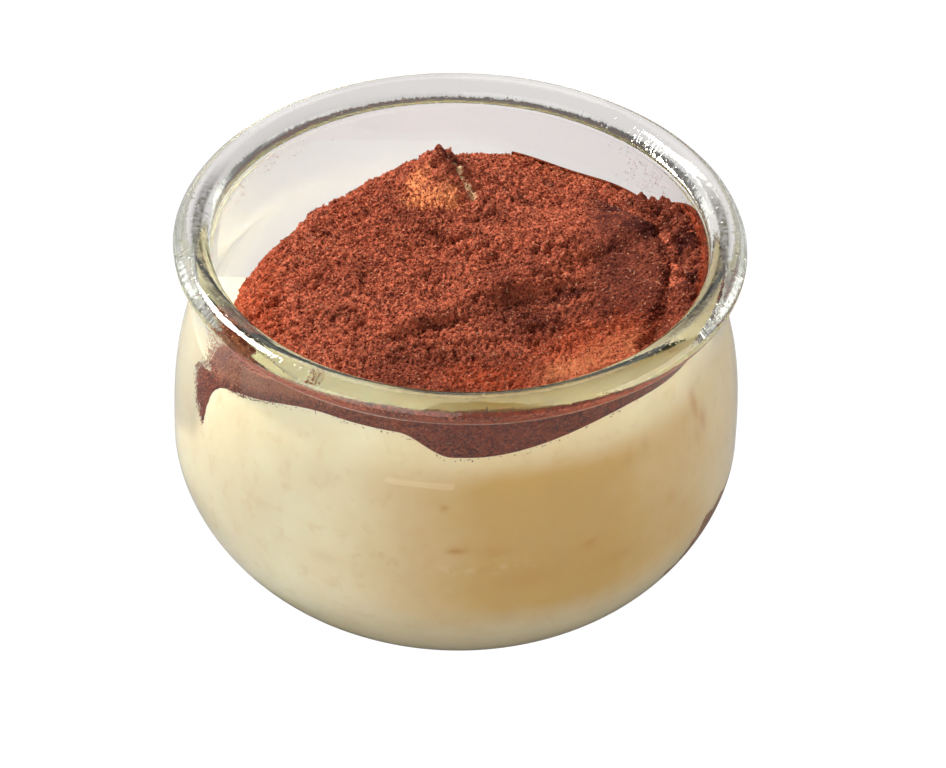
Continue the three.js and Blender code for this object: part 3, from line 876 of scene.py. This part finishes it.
HOOK_Z = [31.2, 33.2, 35.2, 36.6, 38.1, 39.7, 41.8, 43.6, 45.5]
HOOK_LEFT = [64.3, 68.0, 70.9, 72.1, 69.5, 67.6, 65.8, 62.9, 60.0]
HOOK_RIGHT = [63.9, 63.9, 63.7, 63.1, 61.3, 57.2, 56.0, 56.0, 56.0]


def shell(name, az, z, front, depth, mat, veil):
    """closed thin plate on the inside of the glass from a grid of azimuths and heights"""
    n, k = az.shape
    a = np.radians(az)
    layers = []
    for r in (inner_r(z) + front, inner_r(z) + front - depth):
        layers.append(np.stack([r * np.sin(a), -r * np.cos(a), z], -1).reshape(-1, 3))
    i, q = np.meshgrid(np.arange(n - 1), np.arange(k - 1), indexing="ij")
    face = np.stack([i * k + q, (i + 1) * k + q, (i + 1) * k + q + 1, i * k + q + 1], -1).reshape(-1, 4)
    idx = np.arange(n * k).reshape(n, k)
    ring = np.concatenate([idx[:-1, 0], idx[-1, :-1], idx[:0:-1, -1], idx[0, :0:-1]])
    nxt = np.roll(ring, -1)
    side = np.stack([ring, ring + n * k, nxt + n * k, nxt], -1)
    faces = np.concatenate([face, face[:, ::-1] + n * k, side])
    return make_piece(name, np.concatenate(layers), faces, mat, attributes={"veil": np.concatenate([veil.ravel()] * 2)})


def build_band():
    az = np.arange(-61.0, 168.01, 0.2)
    x0, y0 = 38 * np.sin(np.radians(az)), -38 * np.cos(np.radians(az))
    low = cream_line(az) + 0.3 * fbm(x0, y0, 0 * x0, 1.6, 3, seed=71) + 0.14 * noise(x0 / 0.35, y0 / 0.35, 0 * x0, 72)
    high = np.maximum(powder_line(az) + 0.35, low + 0.3)
    t = np.linspace(0, 1, 24)
    z = high[:, None] + (low - high)[:, None] * t
    front = 0.06 * (1 - S((az + 58) / 6)) - 0.02 * S((az + 58) / 6)
    aa = np.broadcast_to(az[:, None], z.shape)
    veil = 0.6 * S((-aa - 12) / 30) * S((z - low[:, None] - 0.6) / 2.2) + 0.15 * S((-aa + 5) / 20)
    shell("cocoa_band", aa, z, front[:, None], 0.5, COCOA_WALL, veil)
    # the streak that ran down at the left
    zz = np.linspace(31.2, 41.4, 104)
    left = np.interp(zz, HOOK_Z, HOOK_LEFT) - 0.5 + 0.7 * noise(zz / 0.5, 0 * zz, 0 * zz, 73) + 0.4 * noise(zz / 0.2, 0 * zz, 0 * zz, 74)
    right = np.interp(zz, HOOK_Z, HOOK_RIGHT) + 0.15 * noise(zz / 0.4, 0 * zz, 0 * zz, 75)
    left = np.maximum(left - 3.5 * S((zz - 37.2) / 3.0), right + 0.12)
    u = right[:, None] + (left - right)[:, None] * np.linspace(0, 1, 26)
    zs = np.broadcast_to(zz[:, None], u.shape)
    shell("cocoa_streak", -u, zs, 0.06, 0.4, COCOA_WALL, 0.3 * S((u - right[:, None] - 3) / 5) + 0.75 * S((zs - 37.6) / 2.6))


build_band()


def dust_density(az, z):
    """how thickly loose powder clings to the inside of the glass"""
    u = -az
    left = np.interp(z, HOOK_Z, HOOK_LEFT)
    right = np.interp(z, HOOK_Z, HOOK_RIGHT)
    out = (u - left) * 0.66
    fringe = np.where(out > -0.6, np.exp(-(np.clip(out, 0, None) / 0.85) ** 2), 0.0) * (u > right) * S((z - 30.6) / 1.0)
    above = S((z - 37.5) / 1.5) * (1 - S((z - 44.6) / 1.6)) * (1 - S((u - 66) / 6)) * S((u - 40) / 10)
    under = cream_line(az) - z
    haze = 0.7 * above * (0.8 + 0.5 * fbm(az / 1.2, z, 0 * z, 1.2, 2, seed=81)) * (under < 0.1)
    edge = 0.06 * np.exp(-(np.clip(under, 0, None) / 0.3) ** 2) * (under > -0.2) * (az > -60) * (az < 45)
    right_wall = 0.16 * bell(az, 128, 9) * S((z - 44) / 2) * (1 - S((z - 49.5) / 1)) * S(0.5 + 2.5 * fbm(az / 3, z / 1.5, 0 * z, 1.0, 2, seed=82))
    left_wall = 0.10 * bell(az, -112, 22) * S((z - 46.3) / 1.5) * (1 - S((z - 50) / 0.8)) * S(0.5 + 2 * fbm(az / 4, z, 0 * z, 1.0, 2, seed=83))
    return np.clip(fringe + haze + edge, 0, 1), np.clip(right_wall + left_wall, 0, 1)


# ---------------------------------------------------------------------------
# loose grains
# ---------------------------------------------------------------------------
OCTA = np.array([(1, 0, 0), (-1, 0, 0), (0, 1, 0), (0, -1, 0), (0, 0, 1), (0, 0, -1)], float)
OCTA_F = np.array([(0, 2, 4), (2, 1, 4), (1, 3, 4), (3, 0, 4), (2, 0, 5), (1, 2, 5), (3, 1, 5), (0, 3, 5)])


def scatter(name, centres, sizes, mat, jitter=0.35):
    n = len(centres)
    q = RNG.normal(size=(n, 4))
    q /= np.linalg.norm(q, axis=1, keepdims=True)
    w, x, y, z = q.T
    R = np.stack(
        [
            1 - 2 * (y * y + z * z), 2 * (x * y - z * w), 2 * (x * z + y * w),
            2 * (x * y + z * w), 1 - 2 * (x * x + z * z), 2 * (y * z - x * w),
            2 * (x * z - y * w), 2 * (y * z + x * w), 1 - 2 * (x * x + y * y),
        ],
        -1,
    ).reshape(n, 3, 3)
    shape = OCTA[None] * (1 + jitter * RNG.uniform(-1, 1, (n, 6, 1)))
    pts = np.einsum("nij,nkj->nki", R, shape) * sizes[:, None, None] / 2 + centres[:, None]
    faces = (OCTA_F[None] + 6 * np.arange(n)[:, None, None]).reshape(-1, 3)
    return make_piece(name, pts.reshape(-1, 3), faces, mat, smooth=False)


def on_cover(count, seed):
    """random points of the cover's top"""
    rng = np.random.default_rng(seed)
    me = cover.data
    co = np.zeros(len(me.vertices) * 3, np.float32)
    me.vertices.foreach_get("co", co)
    co = co.reshape(-1, 3) / MM
    n = 296
    pick = rng.integers(0, n, (count, 2))
    idx = pick[:, 0] * (n + 1) + pick[:, 1]
    f = rng.random((count, 2, 1))
    p = co[idx] + (co[idx + n + 1] - co[idx]) * f[:, 0] + (co[idx + 1] - co[idx]) * f[:, 1]
    return p


def on_wall(name, az, z, sizes, lift, mat, seed):
    """flat flecks on the inside of the glass"""
    rng = np.random.default_rng(seed)
    n = len(az)
    a, r = np.radians(az), inner_r(z) + lift
    centre = np.stack([r * np.sin(a), -r * np.cos(a), z], -1)
    out = np.stack([np.sin(a), -np.cos(a), 0 * a], -1)
    slope = (inner_r(z + 0.05) - inner_r(z - 0.05)) / 0.1
    out = out - np.stack([0 * a, 0 * a, slope], -1)
    out /= np.linalg.norm(out, axis=1, keepdims=True)
    side = np.stack([np.cos(a), np.sin(a), 0 * a], -1)
    up = np.cross(out, side)
    turn = rng.uniform(0, 2 * math.pi, n)
    c, d = np.cos(turn)[:, None], np.sin(turn)[:, None]
    e1, e2 = side * c + up * d, up * c - side * d
    k = rng.uniform(0.7, 1.3, (n, 4)) * sizes[:, None] / 2
    pts = np.stack(
        [centre + e1 * k[:, :1], centre - e1 * k[:, 1:2], centre + e2 * k[:, 2:3], centre - e2 * k[:, 3:], centre + out * 0.02, centre - out * 0.02],
        1,
    )
    faces = (OCTA_F[None] + 6 * np.arange(n)[:, None, None]).reshape(-1, 3)
    return make_piece(name, pts.reshape(-1, 3), faces, mat, smooth=False)


def build_grains():
    p = on_cover(36000, 3)
    rng = np.random.default_rng(5)
    pile, smooth, patch = zones(p[:, 0], p[:, 1])
    shade = 0.8 * np.exp(-(((p[:, 0] - 10) / 8.5) ** 2) - ((p[:, 1] + 12.0) / 5.0) ** 2)
    keep = (np.hypot(p[:, 0], p[:, 1]) < inner_r(p[:, 2]) - 0.12) & (rng.random(len(p)) > 0.85 * np.maximum(np.maximum(smooth, patch), shade))
    p = p[keep][:24500]
    s = RNG.uniform(0.12, 0.28, len(p))
    p[:, 2] += s * 0.3
    scatter("cocoa_grains", p, s, COCOA)
    p = on_cover(3600, 4)
    pile, smooth, patch = zones(p[:, 0], p[:, 1])
    keep = (np.hypot(p[:, 0], p[:, 1]) < inner_r(p[:, 2]) - 0.3) & (rng.random(len(p)) > 0.9 * np.maximum(smooth, patch))
    p = p[keep]
    s = RNG.uniform(0.26, 0.5, len(p)) * RNG.uniform(0.7, 1.1, len(p))
    p[:, 2] += s * 0.15
    scatter("cocoa_crumbs", p, s, COCOA, 0.3)
    # on the glass
    rng = np.random.default_rng(6)
    az, z = rng.uniform(-76, 76, 90000), rng.uniform(30, 48.5, 90000)
    near, far = dust_density(az, z)
    keep = rng.random(len(az)) < near
    az, z = az[keep][:22000], z[keep][:22000]
    lift = np.where(z < cream_line(az) + 0.3, 0.07, np.where(az < -54, 0.05, -0.045))
    core = (z < 37.5) | (z - cream_line(az) < 1.2)
    pick = core | (rng.random(len(az)) < 0.3)
    on_wall("cocoa_flecks", az[pick], z[pick], rng.uniform(0.12, 0.28, pick.sum()), lift[pick], COCOA_WALL, 7)
    pick = ~pick
    on_wall("cocoa_film", az[pick], z[pick], rng.uniform(0.14, 0.3, pick.sum()), lift[pick], COCOA_DUST, 9)
    az, z = rng.uniform(-175, 165, 80000), rng.uniform(43, 50.5, 80000)
    near, far = dust_density(az, z)
    keep = rng.random(len(az)) < far
    az, z = az[keep][:9000], z[keep][:9000]
    on_wall("cocoa_haze", az, z, rng.uniform(0.08, 0.22, len(az)), -0.045 + 0 * az, COCOA_DUST, 8)


build_grains()


# ---------------------------------------------------------------------------
# floor, light, world
# ---------------------------------------------------------------------------


def build_floor():
    m, nt, out = material("floor")
    where = node(nt, "TexCoord").outputs["Object"]
    tone = blend(nt, grain(nt, where, 30.0, 2.0), (0.30, 0.30, 0.30), (0.33, 0.33, 0.33))
    plain = node(nt, "BsdfDiffuse", {"Color": tone})
    path = node(nt, "LightPath")
    lit = node(nt, "Emission", {"Color": (1.0, 0.995, 0.985, 1), "Strength": calc(nt, "MULTIPLY", path.outputs["Is Diffuse Ray"], 0.6)})
    both = node(nt, "AddShader", {0: plain.outputs[0], 1: lit.outputs[0]})
    flat = node(nt, "VectorMath", {0: where, 1: (1.0, 1.0, 0.0)}, operation="MULTIPLY").outputs[0]
    reach = node(nt, "VectorMath", {0: flat}, operation="LENGTH").outputs["Value"]
    # painted contact shadow: the floor under and round the pot is darker for rays through the glass
    under = remap(nt, reach, 0.0225, 0.032, 0.1, 0.84)
    place = node(nt, "SeparateXYZ", {0: where})
    # painted shade: the floor at the back left is slightly darker for rays through the glass
    painted_corner_shade = calc(nt, "MULTIPLY", remap(nt, place.outputs["X"], -0.01, -0.045, 0.0, 1.0), remap(nt, place.outputs["Y"], 0.02, 0.05, 0.0, 1.0))
    under = calc(nt, "MULTIPLY", under, remap(nt, painted_corner_shade, 0.0, 1.0, 1.0, 0.9))
    straight = calc(nt, "LESS_THAN", path.outputs["Glossy Depth"], 0.5)
    through = calc(nt, "MULTIPLY", path.outputs["Is Transmission Ray"], straight)
    direct = path.outputs["Is Camera Ray"]
    power = calc(nt, "ADD", calc(nt, "MULTIPLY", direct, 1.05), calc(nt, "MULTIPLY", through, under))
    tone = blend(nt, direct, (1.0, 0.96, 0.98), (1.0, 1.0, 1.0))
    bright = node(nt, "Emission", {"Color": tone, "Strength": power})
    mix = node(nt, "MixShader", {0: calc(nt, "MAXIMUM", direct, through), 1: both.outputs[0], 2: bright.outputs[0]})
    nt.links.new(mix.outputs[0], out.inputs["Surface"])
    me = bpy.data.meshes.new("floor")
    s = 3.0
    me.from_pydata([(-s, -s, -0.0001), (s, -s, -0.0001), (s, s, -0.0001), (-s, s, -0.0001)], [], [(0, 1, 2, 3)])
    me.materials.append(m)
    ob = bpy.data.objects.new("floor", me)
    bpy.context.scene.collection.objects.link(ob)


def area(name, at, aim, size, power, colour=(1, 1, 1)):
    data = bpy.data.lights.new(name, "AREA")
    data.shape = "RECTANGLE"
    data.size, data.size_y = size
    data.energy = power
    data.color = colour
    ob = bpy.data.objects.new(name, data)
    bpy.context.scene.collection.objects.link(ob)
    ob.location = at
    ob.rotation_mode = "QUATERNION"
    ob.rotation_quaternion = (Vector(aim) - Vector(at)).to_track_quat("-Z", "Y")


def softbox(name, azimuth, height, far, size, light, colour=(1, 1, 1)):
    """area light that gives the middle of the pot this much light"""
    a, e = math.radians(azimuth), math.radians(height)
    at = (far * math.sin(a) * math.cos(e), -far * math.cos(a) * math.cos(e), 0.03 + far * math.sin(e))
    area(name, at, (0, 0, 0.03), (size, size), light * math.pi * far * far, colour)


def build_light():
    softbox("key", -136, 49, 0.7, 0.2, 4.8, (1.0, 0.985, 0.96))
    softbox("front_left", -29, 12, 0.75, 0.85, 2.3, (1.0, 0.99, 0.97))
    softbox("right", 78, 14, 0.8, 0.6, 1.2, (1.0, 0.98, 0.95))
    area("back", (-0.15, 0.75, 0.6), (0, 0, 0.04), (0.8, 0.3), 0.8)
    world = bpy.data.worlds.new("studio")
    bpy.context.scene.world = world
    world.use_nodes = True
    nt = world.node_tree
    nt.nodes.clear()
    out = nt.nodes.new("ShaderNodeOutputWorld")
    way = node(nt, "TexCoord").outputs["Generated"]
    split = node(nt, "SeparateXYZ", {0: way})
    ring = blend(nt, remap(nt, split.outputs["Y"], -0.5, 0.6), (0.08, 0.08, 0.085), (0.8, 0.8, 0.8))
    tone = blend(nt, remap(nt, split.outputs["Z"], 0.15, 0.8), ring, (0.16, 0.162, 0.17))
    back = node(nt, "Background", {"Color": tone, "Strength": 1.0})
    nt.links.new(back.outputs[0], out.inputs["Surface"])


build_floor()
build_light()

scene = bpy.context.scene
scene.cycles.max_bounces = 24
scene.cycles.glossy_bounces = 14
scene.cycles.transmission_bounces = 20
scene.view_settings.view_transform = "Standard"
scene.view_settings.look = "None"
scene.view_settings.exposure = 0.0
scene.view_settings.gamma = 1.0
